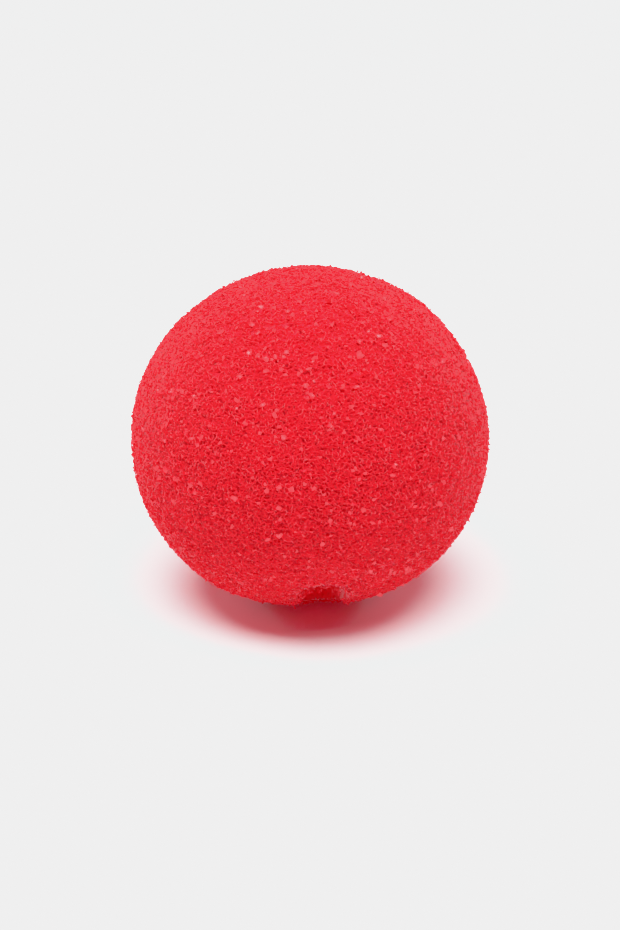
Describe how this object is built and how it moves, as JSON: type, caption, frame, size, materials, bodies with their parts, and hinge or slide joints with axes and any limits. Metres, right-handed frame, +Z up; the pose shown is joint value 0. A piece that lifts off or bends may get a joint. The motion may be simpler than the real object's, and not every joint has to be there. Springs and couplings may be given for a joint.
{
  "type": "clown nose",
  "caption": "Soft red foam ball worn over the nose, with an oval pocket cut into its underside that grips the tip of the wearer's nose.",
  "frame": {"origin": "on the surface that the ball lies on, under the ball's centre", "axes": "+Z up; -Y to the front, where the pocket's mouth faces down and forwards; +X to the right as seen from the front"},
  "size_m": [0.05, 0.05, 0.0476],
  "materials": {
    "red_foam": "matte open-cell polyurethane foam, dyed red through"
  },
  "bodies": {
    "root": {"nose_ball": "red_foam"}
  },
  "joints": []
}
